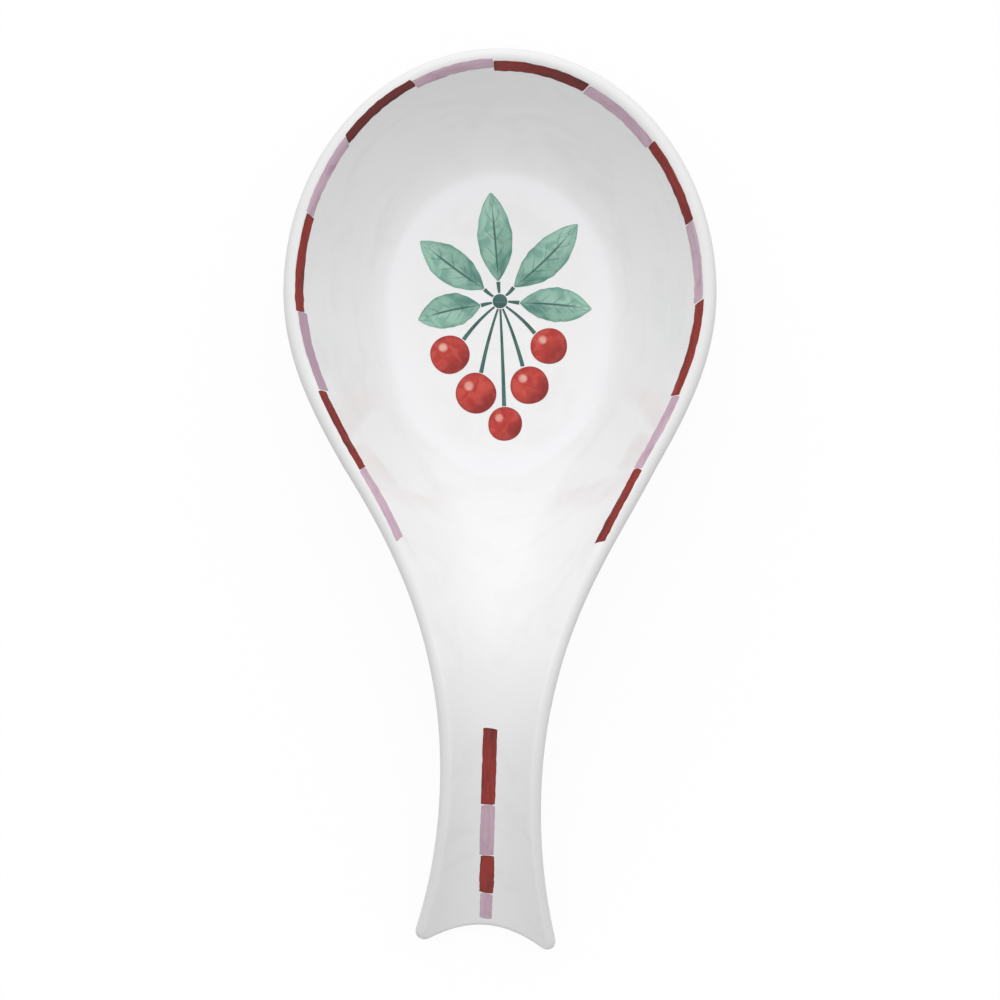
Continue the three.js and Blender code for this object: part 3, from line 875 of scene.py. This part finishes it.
def leaf_patch(random, turn, length):
    """A leaf between two mirrored cubic curves, a little uneven and bent."""
    reach = lerp(LEAF_BLUNT, 1 - LEAF_BLUNT, edged(LEAF_ROWS, MOTIF_UNIT * length))[:, None]
    side = 2 * edged(STROKE_COLUMNS, MOTIF_UNIT * LEAF_WIDTH)[None, :] - 1
    half = 2 * LEAF_WIDTH * reach * (1 - reach) * (1 + wobble(random, reach, LEAF_WOBBLE))
    handle_y = length * LEAF_TAPER
    edge = bezier((0,), (handle_y,), (length - handle_y,), (length,))[:, 0]
    out = LEAF_START + np.interp(reach, np.linspace(0, 1, len(edge)), edge)
    bend = LEAF_BEND * random.uniform(-1, 1) * np.sin(math.pi * reach)
    across = side * half + bend
    x = across * math.cos(turn) - out * math.sin(turn)
    y = across * math.sin(turn) + out * math.cos(turn)
    to_edge = MOTIF_UNIT * half * (1 - np.abs(side))
    return motif_patch(x, y, MOTIF_UNIT * out, side, reach, to_edge)


def berry_patch(random, x, y, radius):
    """A disc on a square grid, a little out of round."""
    v = 2 * edged(BERRY_ROWS, 2 * MOTIF_UNIT * radius)[:, None] - 1
    u = v.T
    across = u * np.sqrt(1 - v**2 / 2)
    up = v * np.sqrt(1 - u**2 / 2)
    reach = np.hypot(across, up)
    turn = np.arctan2(up, across) / math.tau + 0.5
    size = radius * (1 + wobble(random, turn, BERRY_WOBBLE, BERRY_WAVES))
    to_edge = MOTIF_UNIT * radius * (1 - reach)
    return motif_patch(x + size * across, y + size * up, across, up, reach, to_edge)


def stalk_patch(end):
    """A stalk from the knot to its end, bent a little outwards and thickening on its way."""
    reach = np.linspace(0, 1, STALK_ROWS)[:, None]
    side = 2 * edged(STALK_COLUMNS, MOTIF_UNIT * STALK_WIDTH)[None, :] - 1
    start = end * (STALK_KNOT + STALK_SPACE) / np.linalg.norm(end)
    path = bezier(start, (end[0] * STALK_BEND, end[1] / 2), end, steps=STALK_ROWS)
    ahead = unit(np.gradient(path, axis=0))
    half = STALK_WIDTH / 2 * lerp(STALK_TAPER, 1, reach)
    x = path[:, :1] + half * side * ahead[:, 1:]
    y = path[:, 1:] - half * side * ahead[:, :1]
    along = MOTIF_UNIT * reach * np.linalg.norm(end)
    to_edge = MOTIF_UNIT * half * (1 - np.abs(side))
    return motif_patch(x, y, along, side, reach, to_edge)


def add_motif(paints):
    """Leaves and berries round a knot, from which all their stalks run as one brushed mark."""
    random = np.random.default_rng(MOTIF_SEED)
    stalks = [berry_patch(random, 0, 0, STALK_KNOT)]
    for i, (degrees, length) in enumerate(MOTIF_LEAVES):
        turn = math.radians(degrees)
        patch = leaf_patch(random, turn, length)
        add_film(f"motif_leaf_{i + 1}", paints["enamel_leaf"], [patch])
        stalks.append(stalk_patch(LEAF_START * np.array([-math.sin(turn), math.cos(turn)])))
    for i, (x, y, radius) in enumerate(MOTIF_BERRIES):
        patch = berry_patch(random, x, y, radius)
        add_film(f"motif_berry_{i + 1}", paints["enamel_berry"], [patch])
        short_of_berry = 1 - (radius + STALK_SPACE) / math.hypot(x, y)
        stalks.append(stalk_patch(np.array([x, y]) * short_of_berry))
    add_film("motif_stalk", paints["enamel_stalk"], stalks)


# Stage

def add_camera():
    camera = bpy.data.objects.new("camera", bpy.data.cameras.new("camera"))
    bpy.context.scene.collection.objects.link(camera)
    camera.data.lens = CAMERA_LENS
    camera.data.sensor_width = CAMERA_SENSOR
    away = np.array([0, -math.cos(CAMERA_ELEVATION), math.sin(CAMERA_ELEVATION)])
    camera.location = np.array(CAMERA_TARGET) + CAMERA_DISTANCE * away
    camera.rotation_euler = (math.pi / 2 - CAMERA_ELEVATION, 0, 0)
    bpy.context.scene.camera = camera


def add_world():
    """A soft sky that brightens upwards and towards the bowl's far end. The camera sees it plain white."""
    world = bpy.data.worlds.new("studio")
    bpy.context.scene.world = world
    world.use_nodes = True
    nodes = Nodes(world.node_tree)
    direction = nodes.parts(nodes.add("ShaderNodeTexCoord").outputs["Generated"])
    above = nodes.add("ShaderNodeMapRange", {"Value": direction["Z"], "To Max": SKY_ABOVE})
    beyond = nodes.add("ShaderNodeMapRange", {"Value": direction["Y"], "To Max": SKY_BEYOND})
    sky = nodes.math("ADD", above.outputs["Result"], beyond.outputs["Result"])
    strength = nodes.add("ShaderNodeMix", {"Factor": nodes.seen(1.0), "A": sky, "B": 1.0})
    background = nodes.tree.nodes["Background"]
    nodes.feed(background.inputs["Color"], (1, 1, 1, 1))
    nodes.feed(background.inputs["Strength"], strength.outputs["Result"])


def floor_material():
    """Shows white where light falls on it, and keeps some of the part's shadow."""
    material = bpy.data.materials.new("white_floor")
    material.use_nodes = True
    nodes = Nodes(material.node_tree)
    nodes.tree.nodes.remove(nodes.tree.nodes["Principled BSDF"])
    matt = nodes.add("ShaderNodeBsdfDiffuse", {"Color": (FLOOR_GREY, FLOOR_GREY, FLOOR_GREY, 1)})
    lit = nodes.add("ShaderNodeEmission", {"Strength": FLOOR_GLOW})
    inputs = {"Fac": nodes.seen(1 - SHADOW_KEPT), 1: matt.outputs["BSDF"], 2: lit.outputs["Emission"]}
    mixed = nodes.add("ShaderNodeMixShader", inputs)
    nodes.feed(nodes.tree.nodes["Material Output"].inputs["Surface"], mixed.outputs["Shader"])
    return material


def add_floor():
    mesh = bpy.data.meshes.new("floor")
    corners = [(FLOOR_HALF * x, FLOOR_HALF * y, 0) for x, y in ((-1, -1), (1, -1), (1, 1), (-1, 1))]
    mesh.from_pydata(corners, [], [(0, 1, 2, 3)])
    mesh.materials.append(floor_material())
    floor = bpy.data.objects.new("floor", mesh)
    floor.location.z = -FLOOR_CLEAR
    bpy.context.scene.collection.objects.link(floor)


add_camera()
add_world()
add_floor()
bpy.context.scene.view_settings.view_transform = "Standard"

red = {"deep": "3a0806", "body": "8e1e15", "pale": "a02b1f"}
lilac = {"deep": "b08ea3", "body": "c9a9bb", "pale": "d3b9c6"}
green = {"deep": "22393a", "body": "35605a", "pale": "4d7a70"}
paints = {
    "enamel_red": brush_material("brushed_red", **red, dried=0.6),
    "enamel_lilac": brush_material("brushed_lilac", **lilac, dried=0.2),
    "enamel_leaf": leaf_material(),
    "enamel_berry": berry_material(),
    "enamel_stalk": brush_material("brushed_stalk", **green, dried=0.3),
}

add_body()
add_rim_dashes(paints)
add_handle_dashes(paints)
add_motif(paints)
